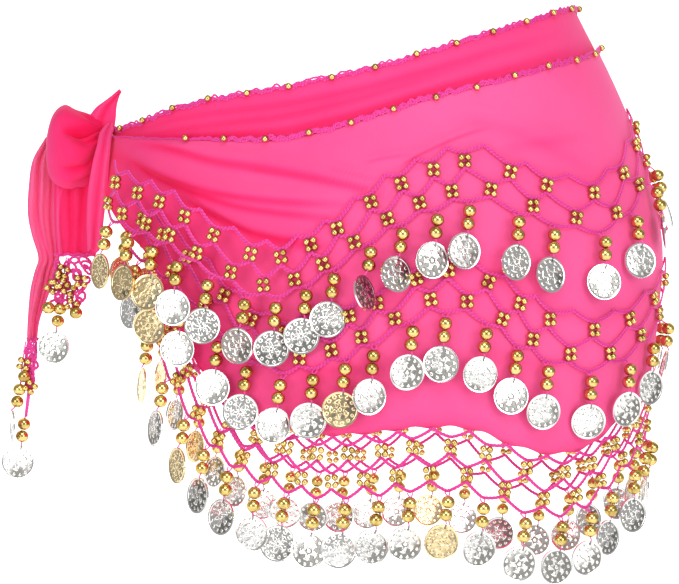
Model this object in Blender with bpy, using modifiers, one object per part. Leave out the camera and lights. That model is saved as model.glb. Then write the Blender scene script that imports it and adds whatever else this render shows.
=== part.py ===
"""Coin hip scarf: a chiffon wrap tied at one side, with three crocheted nets of beads and hanging coins.

Metres, +Z up. The wearer's front faces -Y, the knot is at -X, and the origin is in the middle of the waist opening.
Angles run round the hips from the knot (0) over the front (90) to the far hip (180). The back mirrors the front.
"""

import math

import bmesh
import bpy
from mathutils import Vector

MM = 0.001

# The general hip form that the scarf is wrapped on: height, left side, right side, half depth.
HIP_FORM = (
    (-0.320, -0.144, 0.172, 0.116),
    (-0.240, -0.148, 0.180, 0.120),
    (-0.196, -0.150, 0.186, 0.123),
    (-0.148, -0.150, 0.192, 0.124),
    (-0.110, -0.148, 0.194, 0.122),
    (-0.068, -0.143, 0.186, 0.116),
    (-0.040, -0.137, 0.1765, 0.110),
    (-0.005, -0.131, 0.1615, 0.104),
    (0.025, -0.126, 0.1465, 0.097),
    (0.060, -0.122, 0.129, 0.090),
)

# Heights of the edges on the front: angle, top edge, outer cloth's edge, first tier, second tier, hem.
EDGES = (
    (0, -0.041, -0.0435, -0.051, -0.060, -0.054),
    (10, -0.0415, -0.0445, -0.053, -0.063, -0.057),
    (20, -0.041, -0.046, -0.056, -0.067, -0.069),
    (30, -0.0385, -0.0475, -0.062, -0.076, -0.090),
    (40, -0.033, -0.049, -0.070, -0.086, -0.120),
    (50, -0.0285, -0.050, -0.080, -0.103, -0.1655),
    (60, -0.025, -0.051, -0.098, -0.130, -0.198),
    (70, -0.0215, -0.051, -0.109, -0.150, -0.213),
    (80, -0.0165, -0.046, -0.096, -0.1475, -0.220),
    (90, -0.011, -0.038, -0.074, -0.1345, -0.219),
    (100, -0.004, -0.0295, -0.0595, -0.117, -0.216),
    (110, 0.0035, -0.0225, -0.053, -0.121, -0.217),
    (120, 0.0105, -0.0165, -0.0625, -0.138, -0.227),
    (130, 0.0165, -0.0105, -0.0695, -0.148, -0.2325),
    (140, 0.022, -0.005, -0.0695, -0.150, -0.229),
    (150, 0.027, -0.001, -0.058, -0.143, -0.216),
    (160, 0.0305, 0.0035, -0.044, -0.133, -0.203),
    (170, 0.032, 0.0075, -0.032, -0.123, -0.194),
    (180, 0.032, 0.0085, -0.026, -0.117, -0.189),
)
TOP, OUTER, TIER_1, TIER_2, HEM = range(5)

# Cloth, as distances out from the hip form to the middle of each wall.
CLOTH_THICK = 1.2 * MM
INNER_OUT = 0.6 * MM
OUTER_OUT = 2.3 * MM
KNOT_GAP_ANGLE = 5
BAND_TUCK = 14 * MM
CLOTH_COLUMNS = 46
CREASED_ROWS = 6
LOWER_ROWS = 2

# Creases that fan out from the knot over the outer cloth, above the first tier.
# Share of the way down at the knot and where they end, height, half width as a share.
CREASES = (
    (0.26, 0.28, 3.4 * MM, 0.11),
    (0.48, 0.51, 2.8 * MM, 0.10),
    (0.70, 0.72, 2.0 * MM, 0.09),
)
CREASE_END_ANGLE = 112
CREASE_START_ANGLE = 22

# Crocheted edging of the two top edges.
EDGING_TALL = 3.2 * MM
EDGING_THICK = 2 * MM
EDGING_GAP = 0.8 * MM
TOP_EDGING_OUT = 0.5 * MM
OUTER_EDGING_OUT = 2.9 * MM
SEAM_GAP = 0.3 * MM

# Crocheted net. Depths are below the line that the net is sewn on.
CORD_WIDE = 2.4 * MM
NET_THICK = 1.4 * MM
NET_OUT = 4.1 * MM
FLOWER = 8 * MM
TOP_SWAG = 5.7 * MM
MID_SWAG = 7.5 * MM
FLOWER_1_TOP = TOP_SWAG
FLOWER_1_END = FLOWER_1_TOP + FLOWER
FLOWER_2_TOP = FLOWER_1_END + MID_SWAG
FLOWER_2_END = FLOWER_2_TOP + FLOWER
HALF_JOIN_GAP = 0.3 * MM

# Tiers: edge, angle where the net starts, depth of its lowest swags.
TIERS = {
    "tier_1": (TIER_1, 28, 4.5 * MM),
    "tier_2": (TIER_2, 36, 5.5 * MM),
    "tier_3": (HEM, 39, 7.5 * MM),
}

# Angles of the upper flowers of each net on the front half, each with a coin under it. They are closer
# together where the cloth is bunched.
FLOWER_ANGLES = {
    "tier_1": (33, 41, 47, 53, 58.5, 66, 71.5, 77, 82, 88.5, 94.5, 101, 107.5, 117, 125, 137.5, 150, 163, 174),
    "tier_2": (40, 46, 52, 60, 66, 73, 79, 85, 90, 97, 103, 111, 118, 125, 137, 149, 161, 173),
    "tier_3": (42, 47, 52, 57, 62, 68, 74, 80, 86, 92.5, 98.5, 106, 113.5, 123, 133, 141, 149, 158, 167, 175),
}

# Near the knot the tiers close up, so the upper ones lie over the lower ones.
# Tier, lift, angle where it starts, angle where it has gone.
LAYERING = (
    ("tier_1", 7.2 * MM, 18, 76),
    ("tier_1", 8.0 * MM, 26, 62),
    ("tier_2", 6.8 * MM, 22, 58),
)
LAYERING_RUN = 10

# How far each coin is turned from the cloth, in degrees, from the knot to the far hip.
COIN_TURNS = {
    "tier_1": (-14, -8, 4, 10, 16, 46, 16, 12, 10, 58, 24, 16, 14, 8, 10, -18, -24, 14, -10),
    "tier_2": (-8, 6, 8, 12, 14, 36, 16, 8, 26, 10, 6, 4, -8, -12, -20, -24, -20, 6),
    "tier_3": (-30, -34, -36, -30, -20, -12, 8, 30, 14, 12, 8, 6, 0, -6, -14, -12, -10, -20, 6, 8),
}

# A drop below its cord, section by section: depth, half width, half thickness.
DROP = (
    (5.0 * MM, 3.6 * MM, 3.6 * MM),
    (9.0 * MM, 1.8 * MM, 1.8 * MM),
    (13.0 * MM, 3.6 * MM, 3.6 * MM),
    (17.4 * MM, 3.4 * MM, 0.8 * MM),
    (27.0 * MM, 10.6 * MM, 0.8 * MM),
    (38.4 * MM, 5.2 * MM, 0.8 * MM),
)
DROP_LEAN = math.radians(8)
DROP_ROOT_HALF = 1.5 * MM
COIN_HALF = 10.4 * MM
BEAD_OUT = 9.0 * MM
NET_CLEAR = 5.4 * MM
SHINGLE = 2.2 * MM

# The knot: a soft gathered lump, and the ends that come out of it.
KNOT_CENTRE = Vector((-0.160, -0.013, -0.054))
KNOT_RADII = Vector((0.024, 0.022, 0.026))
KNOT_GATHERS = 5
KNOT_GATHER_DEEP = 0.05
KNOT_OFF_HIPS = 4.8 * MM
END_GAP = 1.0 * MM

# Ends of the tie, from the knot on: height, across, forward, half width, pleat depth.
ENDS = {
    "knot_corner": (
        (-0.0340, -0.1500, -0.016, 3.6 * MM, 1.0 * MM),
        (-0.0270, -0.1435, -0.016, 4.2 * MM, 1.2 * MM),
        (-0.0170, -0.1330, -0.015, 0.9 * MM, 0.2 * MM),
    ),
    "tie_strand": (
        (-0.0560, -0.1458, -0.0326, 3.4 * MM, 0.8 * MM),
        (-0.0700, -0.1464, -0.0332, 4.4 * MM, 1.2 * MM),
        (-0.0900, -0.1468, -0.033, 4.8 * MM, 1.2 * MM),
        (-0.1130, -0.1475, -0.032, 3.8 * MM, 1.0 * MM),
    ),
    "front_tail": (
        (-0.0780, -0.1580, -0.021, 10.0 * MM, 2.8 * MM),
        (-0.0880, -0.1582, -0.022, 11.0 * MM, 3.0 * MM),
        (-0.1020, -0.1585, -0.022, 11.5 * MM, 2.4 * MM),
        (-0.1160, -0.1585, -0.022, 11.5 * MM, 1.8 * MM),
    ),
    "long_tail": (
        (-0.0700, -0.1785, -0.013, 5.0 * MM, 1.8 * MM),
        (-0.0860, -0.1803, -0.013, 8.0 * MM, 2.6 * MM),
        (-0.1030, -0.1785, -0.013, 7.6 * MM, 2.4 * MM),
        (-0.1170, -0.1765, -0.013, 5.8 * MM, 2.0 * MM),
        (-0.1380, -0.1813, -0.014, 5.8 * MM, 1.8 * MM),
        (-0.1550, -0.1850, -0.014, 3.4 * MM, 1.4 * MM),
        (-0.1680, -0.1865, -0.014, 2.8 * MM, 1.0 * MM),
    ),
}
END_PLEATS = {"knot_corner": 1, "tie_strand": 1, "front_tail": 3, "long_tail": 2}

# Coins on the tails: end, across of the drop's root, lead of plain cord above the beads, coin's turn.
TAIL_DROPS = (
    ("front_tail", -0.1630, 26 * MM, -20),
    ("long_tail", -0.1885, 24 * MM, -70),
    ("long_tail", -0.1835, 45 * MM, -15),
)
TRIM_TALL = 3 * MM


def rising(share):
    """0 to 1, with a soft start and end."""
    share = min(1.0, max(0.0, share))
    return share * share * (3 - 2 * share)


def smooth_lookup(rows, at, flat_end=False):
    """The columns of a table at a value of its first column, on one smooth curve through the rows."""
    at = min(max(at, rows[0][0]), rows[-1][0])
    k = 0
    while k < len(rows) - 2 and at > rows[k + 1][0]:
        k += 1

    def slope(i, column):
        if i == len(rows) - 1 and flat_end:
            return 0.0
        a, b = max(0, i - 1), min(len(rows) - 1, i + 1)
        return (rows[b][column] - rows[a][column]) / (rows[b][0] - rows[a][0])

    span = rows[k + 1][0] - rows[k][0]
    t = (at - rows[k][0]) / span
    found = []
    for column in range(1, len(rows[0])):
        start, end = rows[k][column], rows[k + 1][column]
        leaving, arriving = slope(k, column) * span, slope(k + 1, column) * span
        found.append(
            (2 * t**3 - 3 * t**2 + 1) * start
            + (t**3 - 2 * t**2 + t) * leaving
            + (3 * t**2 - 2 * t**3) * end
            + (t**3 - t**2) * arriving
        )
    return found


def edge_height(edge, angle):
    """Height of an edge at any angle round the hips. The back mirrors the front."""
    return smooth_lookup(EDGES, angle if angle <= 180 else 360 - angle, flat_end=True)[edge]


def hip_frame(angle, height):
    """A point of the hip form, its level outward direction, and the level direction of rising angle."""
    left, right, depth = smooth_lookup(HIP_FORM, height)
    half = (right - left) / 2
    turn = math.radians(angle)
    point = Vector(((right + left) / 2 - half * math.cos(turn), -depth * math.sin(turn), height))
    outward = Vector((-math.cos(turn) / half, -math.sin(turn) / depth, 0)).normalized()
    along = Vector((half * math.sin(turn), -depth * math.cos(turn), 0)).normalized()
    return point, outward, along


def on_hips(angle, height, out):
    point, outward, _ = hip_frame(angle, height)
    return point + outward * out


def pushed_off_hips(point, clear):
    """The point itself, or the nearest one that is clear of the hips."""
    left, right, depth = smooth_lookup(HIP_FORM, point.z)
    half = (right - left) / 2
    angle = math.degrees(math.atan2(-point.y / depth, ((right + left) / 2 - point.x) / half))
    surface, outward, _ = hip_frame(angle, point.z)
    off = (point - surface).dot(outward)
    return point if off >= clear else point + outward * (clear - off)


def material(name, colour, roughness, metallic=0.0):
    made = bpy.data.materials.new(name)
    made.use_nodes = True
    shader = made.node_tree.nodes["Principled BSDF"]
    shader.inputs["Base Color"].default_value = (*colour, 1.0)
    shader.inputs["Roughness"].default_value = roughness
    shader.inputs["Metallic"].default_value = metallic
    return made


def add_object(name, shape, finish):
    """Turns a bmesh into a named object of the scarf."""
    mesh = bpy.data.meshes.new(name)
    shape.to_mesh(mesh)
    shape.free()
    mesh.materials.append(finish)
    made = bpy.data.objects.new(name, mesh)
    scarf.objects.link(made)
    return made


def give_thickness(made, thick):
    solidify = made.modifiers.new("thickness", "SOLIDIFY")
    solidify.thickness = thick
    solidify.offset = 0


def add_wall(name, columns, rows, place, finish, thick=CLOTH_THICK):
    """A sheet from a grid whose points go where place(u, v) says, u across and v down, each from 0 to 1."""
    shape = bmesh.new()
    bmesh.ops.create_grid(shape, x_segments=columns, y_segments=rows, size=0.5)
    for vertex in shape.verts:
        vertex.co = place(vertex.co.x + 0.5, 0.5 - vertex.co.y)
    made = add_object(name, shape, finish)
    give_thickness(made, thick)
    return made


def ring_angle(u):
    return KNOT_GAP_ANGLE + u * (360 - 2 * KNOT_GAP_ANGLE)


def crease_lift(angle, share):
    """How far the creases lift the outer cloth, where share runs from its edge to the first tier."""
    round_angle = angle if angle <= 180 else 360 - angle
    fade = rising(1 - round_angle / CREASE_END_ANGLE) * rising(round_angle / CREASE_START_ANGLE)
    lift = 0.0
    for near, far, high, half in CREASES:
        middle = near + (far - near) * round_angle / CREASE_END_ANGLE
        lift += high * math.exp(-(((share - middle) / half) ** 2))
    return lift * fade


def outer_cloth_point(u, v):
    """Rows crowd into the creased part above the first tier, and the rest run from there to the hem."""
    angle = ring_angle(u)
    row = v * (CREASED_ROWS + LOWER_ROWS)
    edge, tier = edge_height(OUTER, angle), edge_height(TIER_1, angle)
    if row <= CREASED_ROWS:
        share = row / CREASED_ROWS
        return on_hips(angle, edge + (tier - edge) * share, OUTER_OUT + crease_lift(angle, share))
    share = (row - CREASED_ROWS) / LOWER_ROWS
    return on_hips(angle, tier + (edge_height(HEM, angle) - tier) * share, OUTER_OUT)


def inner_cloth_point(u, v):
    angle = ring_angle(u)
    top = edge_height(TOP, angle)
    return on_hips(angle, top + (edge_height(OUTER, angle) - BAND_TUCK - top) * v, INNER_OUT)


def edging_point(edge, out):
    def place(u, v):
        angle = ring_angle(u)
        return on_hips(angle, edge_height(edge, angle) + EDGING_GAP + EDGING_TALL * (1 - v), out)

    return place


def half_steps(first_angle, flowers):
    """Angles of all turns of a net: its start, then an upper flower and a point midway to the next, in turn."""
    found = [first_angle]
    for flower, after in zip(flowers, (*flowers[1:], None)):
        found += [flower, (flower + after) / 2 if after else 180]
    return found


class Tier:
    """The front half of one net: where its half repeats lie on the hips, and how steeply its line runs there."""

    def __init__(self, name):
        self.name = name
        self.edge, first_angle, low_swag = TIERS[name]
        self.drop_root = FLOWER_2_END + low_swag
        self.repeats = len(FLOWER_ANGLES[name])
        self.angles = half_steps(first_angle, FLOWER_ANGLES[name])
        ends = [on_hips(angle, edge_height(self.edge, angle), NET_OUT) for angle in self.angles]
        before, after = [ends[0], *ends[:-1]], [*ends[1:], ends[-1]]
        self.slopes = [(b.z - a.z) / (b.xy - a.xy).length for a, b in zip(before, after)]

    def lift(self, angle):
        return sum(
            high * rising((angle - start) / LAYERING_RUN) * rising((end - angle) / LAYERING_RUN)
            for name, high, start, end in LAYERING
            if name == self.name
        )

    def frame(self, half_step, depth):
        angle = self.angles[half_step]
        return hip_frame(angle, edge_height(self.edge, angle) - depth)

    def drop(self, k):
        """Outward direction, turn and stand-off from its root of the drop at one repeat."""
        root, outward, _ = self.frame(2 * k + 1, self.drop_root)
        levels = [self.frame(2 * k + 1, self.drop_root + depth)[0] for depth, _, _ in DROP]
        widest = max((level - root).dot(outward) for level in levels)
        turn = math.radians(COIN_TURNS[self.name][k])
        stand_off = max(BEAD_OUT, NET_CLEAR + COIN_HALF * abs(math.sin(turn))) + k % 2 * SHINGLE
        return outward, turn, max(0.0, widest) + stand_off - NET_OUT

    def point(self, half_step, shift, depth, out=0.0):
        """A point of the net: half repeats from the first, shift along the line, depth below it."""
        surface, outward, along = self.frame(half_step, depth)
        along.z = self.slopes[half_step]
        return surface + outward * (NET_OUT + self.lift(self.angles[half_step]) + out) + along * shift


def add_halves(name, shape, finish, thick=None):
    """Adds the front half and its mirror image, the back half."""
    back = shape.copy()
    for vertex in back.verts:
        vertex.co.y = -vertex.co.y
    bmesh.ops.reverse_faces(back, faces=back.faces)
    for half, body in (("front", shape), ("back", back)):
        made = add_object(f"{name}_{half}", body, finish)
        if thick:
            give_thickness(made, thick)


def add_net(tier, finish):
    """Two rows of zigzag cord with a four-beaded flower at each turn. The mesh between the flowers is open."""
    shape = bmesh.new()
    half_cord, half_flower = CORD_WIDE / 2, FLOWER / 2

    def corner(half_step, shift, depth):
        return shape.verts.new(tier.point(half_step, shift, depth))

    uppers = []
    for k in range(tier.repeats + 1):
        at_end = k in (0, tier.repeats)
        inset = HALF_JOIN_GAP if k == tier.repeats else 0.0
        reach = 0.0 if at_end else half_flower
        low = FLOWER_2_TOP + (half_cord * 1.6 if at_end else half_flower)
        top_cord = corner(2 * k, -inset, -half_cord), corner(2 * k, -inset, half_cord)
        head = corner(2 * k, -inset, FLOWER_2_TOP)
        left = corner(2 * k, -reach - inset, low)
        right = left if at_end else corner(2 * k, reach, low)
        uppers.append((*top_cord, head, left, right))
        if not at_end:
            shape.faces.new((head, left, corner(2 * k, 0, FLOWER_2_END), right))
    for k in range(tier.repeats):
        step = 2 * k + 1
        top = corner(step, 0, FLOWER_1_TOP)
        left = corner(step, -half_flower, FLOWER_1_TOP + half_flower)
        right = corner(step, half_flower, FLOWER_1_TOP + half_flower)
        end = corner(step, 0, FLOWER_1_END)
        before_top, before_low, before_head, _, before_right = uppers[k]
        after_top, after_low, after_head, after_left, _ = uppers[k + 1]
        shape.faces.new((top, left, end, right))
        shape.faces.new((before_top, before_low, left, top))
        shape.faces.new((top, right, after_low, after_top))
        shape.faces.new((before_head, before_right, end, left))
        shape.faces.new((right, end, after_left, after_head))
    bmesh.ops.recalc_face_normals(shape, faces=shape.faces)
    add_halves(f"{tier.name}_net", shape, finish, NET_THICK)


def add_strand(shape, root, outward, turn, stand_off, sections):
    """Lofts a four-sided strand down from four root corners, clear of the cloth by its second section.

    It leans a little towards the knot's side, but not into or off the cloth."""
    middle = sum((corner.co for corner in root), Vector()) / 4
    out = outward * math.cos(turn) + outward.cross(Vector((0, 0, 1))) * math.sin(turn)
    across = Vector((0, 0, 1)).cross(out)
    if across.dot(root[1].co - root[0].co) < 0:
        across = -across
    if out.dot(root[0].co - root[3].co) < 0:
        out = -out
    level = Vector((outward.y, -outward.x, 0))
    sideways = level * level.x * math.tan(DROP_LEAN)
    ring = root
    for depth, half_wide, half_thick in sections:
        centre = middle + outward * stand_off - Vector((0, 0, depth)) - sideways * depth
        section = [
            shape.verts.new(centre + across * half_wide * side + out * half_thick * face)
            for side, face in ((-1, 1), (1, 1), (1, -1), (-1, -1))
        ]
        for i in range(4):
            j = (i + 1) % 4
            shape.faces.new((ring[i], section[i], section[j], ring[j]))
        ring = section
    shape.faces.new(ring)


def bridge_rings(shape, rings, open_under):
    """Joins the rings of a four-sided cord, apart from the underside of the spans that carry a strand."""
    for at, (before, after) in enumerate(zip(rings, rings[1:])):
        for i in range(4):
            if i == 1 and at in open_under:
                continue
            j = (i + 1) % 4
            shape.faces.new((before[i], before[j], after[j], after[i]))
    shape.faces.new(rings[0][::-1])
    shape.faces.new(rings[-1])


def strand_root(left, right):
    """The four corners, outer ones first, of the underside of a cord between two of its rings."""
    return [left[1], right[1], right[2], left[2]]


def cord_section(shape, place, half_tall, half_thick):
    """One ring of a four-sided cord, where place(down, out) gives its corners."""
    return [
        shape.verts.new(place(down * half_tall, out * half_thick))
        for down, out in ((-1, 1), (1, 1), (1, -1), (-1, -1))
    ]


def add_coins(tier, finish):
    """The lowest zigzag cord of a net, with a drop of two beads and a coin fused to each of its points."""
    shape = bmesh.new()
    half_cord = CORD_WIDE / 2
    rings, drops = [], {}

    def ring(half_step, shift, depth):
        def place(down, out):
            return tier.point(half_step, shift, depth + down, out)

        rings.append(cord_section(shape, place, half_cord, NET_THICK / 2))

    for k in range(tier.repeats + 1):
        inset = HALF_JOIN_GAP if k == tier.repeats else 0.0
        ring(2 * k, -inset, FLOWER_2_END + SEAM_GAP * 1.6 + half_cord)
        if k < tier.repeats:
            drops[len(rings)] = k
            ring(2 * k + 1, -DROP_ROOT_HALF, tier.drop_root - half_cord)
            ring(2 * k + 1, DROP_ROOT_HALF, tier.drop_root - half_cord)
    bridge_rings(shape, rings, drops)
    for at, k in drops.items():
        add_strand(shape, strand_root(rings[at], rings[at + 1]), *tier.drop(k), DROP)
    bmesh.ops.recalc_face_normals(shape, faces=shape.faces)
    add_halves(f"{tier.name}_coins", shape, finish)


def knot_surface(x, y, side):
    """Height of the knot's top (side 1) or underside (side -1) at a place, without its gathers."""
    flat = ((x - KNOT_CENTRE.x) / KNOT_RADII.x) ** 2 + ((y - KNOT_CENTRE.y) / KNOT_RADII.y) ** 2
    return KNOT_CENTRE.z + side * KNOT_RADII.z * math.sqrt(max(0.0, 1 - flat))


def add_knot(finish):
    """A soft lump, gathered like a rosette seen from outside, and flattened where it lies on the wrap."""
    shape = bmesh.new()
    bmesh.ops.create_uvsphere(shape, u_segments=20, v_segments=10, radius=1.0)
    for vertex in shape.verts:
        way = vertex.co.copy()
        around = math.atan2(way.z, way.y)
        side_on = math.hypot(way.y, way.z)
        gather = KNOT_GATHER_DEEP * side_on * (math.cos(KNOT_GATHERS * around) - 1) * rising(0.4 - way.x)
        scaled = Vector([a * b for a, b in zip(way, KNOT_RADII)]) * (1 + gather)
        vertex.co = pushed_off_hips(KNOT_CENTRE + scaled, KNOT_OFF_HIPS)
    add_object("knot", shape, finish)


def add_end(name, finish):
    """One cloth end of the tie: a pleated wall through its sections, starting just off the knot."""
    sections = ENDS[name]
    upward = sections[-1][0] > sections[0][0]
    rows = [(i, *section) for i, section in enumerate(sections)]
    pleats = END_PLEATS[name]

    def place(u, v):
        height, across, forward, half, pleat = smooth_lookup(rows, v * (len(rows) - 1))
        x = across + half * (2 * u - 1)
        y = forward - pleat * math.cos(2 * math.pi * pleats * u)
        start = knot_surface(x, y, 1 if upward else -1) + (END_GAP if upward else -END_GAP)
        follow = 1 - rising(v * (len(rows) - 1))
        height += (start - sections[0][0]) * follow
        return Vector((x, y, height))

    add_wall(name, 4 * pleats, 2 * (len(rows) - 1), place, finish)


def add_tail_coins(name, finish):
    """The crocheted trim under a tail, with its long drops fused to it."""
    height, across, forward, half, _ = ENDS[name][-1]
    roots = sorted((x, lead, turn) for end, x, lead, turn in TAIL_DROPS if end == name)
    middle = height - SEAM_GAP * 2.4 - TRIM_TALL / 2
    starts = {x - DROP_ROOT_HALF: (lead, turn) for x, lead, turn in roots}
    stations = sorted([*starts, *(x + DROP_ROOT_HALF for x, _, _ in roots)])
    stations = [min(across - half, stations[0] - 1 * MM), *stations, max(across + half, stations[-1] + 1 * MM)]
    shape = bmesh.new()
    rings = []
    for x in stations:

        def place(down, out, x=x):
            return Vector((x, forward - out, middle - down))

        rings.append(cord_section(shape, place, TRIM_TALL / 2, NET_THICK / 2))
    drops = {stations.index(x): starts[x] for x in starts}
    bridge_rings(shape, rings, drops)
    for at, (lead, turn) in drops.items():
        sections = [(lead - 2 * MM, 1.2 * MM, 0.8 * MM)]
        sections += [(lead + depth, wide, thick) for depth, wide, thick in DROP]
        add_strand(shape, strand_root(rings[at], rings[at + 1]), Vector((0, -1, 0)), math.radians(turn), 0.0, sections)
    bmesh.ops.recalc_face_normals(shape, faces=shape.faces)
    add_object(name + "_coins", shape, finish)


for existing in list(bpy.data.objects):
    bpy.data.objects.remove(existing)

scarf = bpy.data.collections.new("coin_hip_scarf")
bpy.context.scene.collection.children.link(scarf)

chiffon = material("pink_chiffon", (0.95, 0.09, 0.30), 0.75)
yarn = material("magenta_yarn", (0.62, 0.04, 0.32), 0.8)
metal = material("beads_and_coins", (0.80, 0.72, 0.50), 0.25, 1.0)

# The wrap and its edgings
add_wall("outer_cloth", CLOTH_COLUMNS, CREASED_ROWS + LOWER_ROWS, outer_cloth_point, chiffon)
add_wall("inner_cloth", CLOTH_COLUMNS, 2, inner_cloth_point, chiffon)
add_wall("top_edging", CLOTH_COLUMNS, 1, edging_point(TOP, TOP_EDGING_OUT), yarn, EDGING_THICK)
add_wall("outer_edging", CLOTH_COLUMNS, 1, edging_point(OUTER, OUTER_EDGING_OUT), yarn, EDGING_THICK)

# The nets and their coins
for tier_name in TIERS:
    add_net(Tier(tier_name), yarn)
    add_coins(Tier(tier_name), metal)

# The tie
add_knot(chiffon)
for end_name in ENDS:
    add_end(end_name, chiffon)
for tail_name in ("front_tail", "long_tail"):
    add_tail_coins(tail_name, metal)
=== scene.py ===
"""Coin hip scarf, dressed: sheer pink chiffon, crocheted nets, gold beads and silver coins.

Everything stands in the frame's own metres, +Z up. The wearer's front faces -Y and the knot is at -X.
Angles run round the hips from the knot (0) over the front (90) to the far hip (180), and the back mirrors it.
"""

import math
import random

import bmesh
import bpy
import numpy as np
from mathutils import Matrix, Vector


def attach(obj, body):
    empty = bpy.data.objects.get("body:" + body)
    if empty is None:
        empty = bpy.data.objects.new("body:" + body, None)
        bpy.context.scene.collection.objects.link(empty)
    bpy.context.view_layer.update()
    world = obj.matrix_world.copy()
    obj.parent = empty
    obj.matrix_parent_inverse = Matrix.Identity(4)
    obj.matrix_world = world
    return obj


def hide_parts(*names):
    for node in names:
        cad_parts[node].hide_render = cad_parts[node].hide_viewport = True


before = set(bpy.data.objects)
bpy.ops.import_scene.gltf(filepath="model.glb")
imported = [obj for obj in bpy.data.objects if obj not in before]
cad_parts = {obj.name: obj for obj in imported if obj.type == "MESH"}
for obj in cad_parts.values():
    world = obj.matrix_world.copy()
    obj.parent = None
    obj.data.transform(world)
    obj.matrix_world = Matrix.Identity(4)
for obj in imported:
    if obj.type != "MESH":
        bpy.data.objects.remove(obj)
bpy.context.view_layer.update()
MM = 0.001

# The outer cloth
# One wrap of hot pink chiffon, a thin and slightly crinkled cloth. It is pulled tight to the knot, so folds
# fan out from there over the front, and the hem net pulls the hem into shallow scallops between its stitches.
# Shade is painted into the pink in the troughs under the folds and in a band under each sewn net line.

# The hips that the wrap lies on: height, left side, right side, half depth.
HIP_FORM = (
    (-0.320, -0.144, 0.172, 0.116),
    (-0.240, -0.148, 0.180, 0.120),
    (-0.196, -0.150, 0.186, 0.123),
    (-0.148, -0.150, 0.192, 0.124),
    (-0.110, -0.148, 0.194, 0.122),
    (-0.068, -0.143, 0.186, 0.116),
    (-0.040, -0.137, 0.1765, 0.110),
    (-0.005, -0.131, 0.1615, 0.104),
    (0.025, -0.126, 0.1465, 0.097),
    (0.060, -0.122, 0.129, 0.090),
)

# Heights of the edges on the front: angle, top edge, outer cloth's edge, first tier, second tier, hem.
EDGES = (
    (0, -0.041, -0.0435, -0.051, -0.060, -0.054),
    (10, -0.0415, -0.0445, -0.053, -0.063, -0.066),
    (20, -0.041, -0.046, -0.056, -0.067, -0.086),
    (30, -0.0385, -0.0475, -0.062, -0.076, -0.102),
    (40, -0.033, -0.049, -0.070, -0.086, -0.120),
    (50, -0.0285, -0.050, -0.080, -0.103, -0.1655),
    (60, -0.025, -0.051, -0.098, -0.130, -0.198),
    (70, -0.0215, -0.051, -0.109, -0.150, -0.213),
    (80, -0.0165, -0.046, -0.096, -0.1475, -0.220),
    (90, -0.011, -0.038, -0.074, -0.1345, -0.219),
    (100, -0.004, -0.0295, -0.0595, -0.117, -0.216),
    (110, 0.0035, -0.0225, -0.053, -0.121, -0.217),
    (120, 0.0105, -0.0165, -0.0625, -0.138, -0.227),
    (130, 0.0165, -0.0105, -0.0695, -0.148, -0.2325),
    (140, 0.022, -0.005, -0.0695, -0.150, -0.229),
    (150, 0.027, -0.001, -0.058, -0.143, -0.216),
    (160, 0.0305, 0.0035, -0.044, -0.133, -0.203),
    (170, 0.032, 0.0075, -0.032, -0.123, -0.194),
    (180, 0.032, 0.0085, -0.026, -0.117, -0.189),
)
TOP, OUTER, TIER_1, TIER_2, HEM = range(5)
KNOT_GAP_ANGLE = 5

OUTER_OUT = 2.3 * MM
CHIFFON_THICK = 0.8 * MM
OUTER_COLUMNS = 440
FOLDED_ROWS = 48
LOWER_ROWS = 34

# Folds of the outer cloth, pulled from the knot across the front: for each its height, its width above and
# below, and the line that it follows, as places across and heights in mm.
FOLDS = (
    (2.4 * MM, 6.0 * MM, 2.9 * MM, (
        (-130, -45.5), (-103, -49.5), (-71, -59), (-42, -63.5), (11, -75), (46, -86),
    )),
    (1.0 * MM, 3.0 * MM, 1.4 * MM, ((-60, -65), (-20, -70.5), (2, -75), (36, -81))),
    (2.9 * MM, 6.5 * MM, 2.3 * MM, (
        (-132, -52), (-110, -63), (-95, -70), (-71, -78), (-33, -83.5), (22, -86),
    )),
    (2.2 * MM, 5.0 * MM, 2.2 * MM, ((-126, -56), (-105, -68), (-80, -79), (-55, -87), (1, -94), (18, -95))),
    (2.6 * MM, 6.0 * MM, 2.6 * MM, ((-100, -76), (-74, -89), (-47, -101.5), (-12, -108), (6, -109))),
    (1.5 * MM, 3.0 * MM, 1.3 * MM, ((30, -68), (42, -60), (58, -52), (72, -46), (92, -40))),
    (1.1 * MM, 2.6 * MM, 1.1 * MM, ((12, -64), (22, -61), (34, -59), (46, -58))),
    (1.0 * MM, 3.0 * MM, 1.2 * MM, ((-8, -66), (2, -68), (14, -71), (26, -73))),
    (0.7 * MM, 6.0 * MM, 5.0 * MM, ((60, -30), (95, -37), (130, -52), (160, -70))),
    (0.8 * MM, 5.0 * MM, 4.0 * MM, ((88, -52), (118, -46), (150, -40))),
    (0.9 * MM, 6.0 * MM, 4.0 * MM, ((-10, -150), (20, -140), (52, -128))),
    (0.9 * MM, 5.0 * MM, 4.0 * MM, ((-40, -172), (-8, -178), (30, -172))),
    (0.8 * MM, 6.0 * MM, 5.0 * MM, ((70, -160), (105, -172), (140, -168))),
)
BACK_FOLDS_LOWER = 6 * MM
FULL_SHADE_FOLD = 2.4 * MM
SEWN_SHADE_REACH = 7 * MM
HEM_SCALLOP = 1.6 * MM
HEM_FADE = 12 * MM
SHADE_CLOUDS = 0.10
CRINKLE_HIGH = 0.22 * MM

# Chiffon pink as one flat layer shows it, then deeper: painted deeper towards the knot, and as painted shade
# in folds and creases.
PINK_LIGHT = (0.945, 0.108, 0.325)
PINK_FULL = (0.915, 0.045, 0.215)
PINK_DEEP = (0.900, 0.008, 0.105)
SHEEN_PINK = (1.0, 0.55, 0.72)


def rising(share):
    """0 to 1, with a soft start and end."""
    share = min(1.0, max(0.0, share))
    return share * share * (3 - 2 * share)


def bell(off):
    """1 at 0, fading to nothing on both sides past 2."""
    return math.exp(-off * off)


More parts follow.
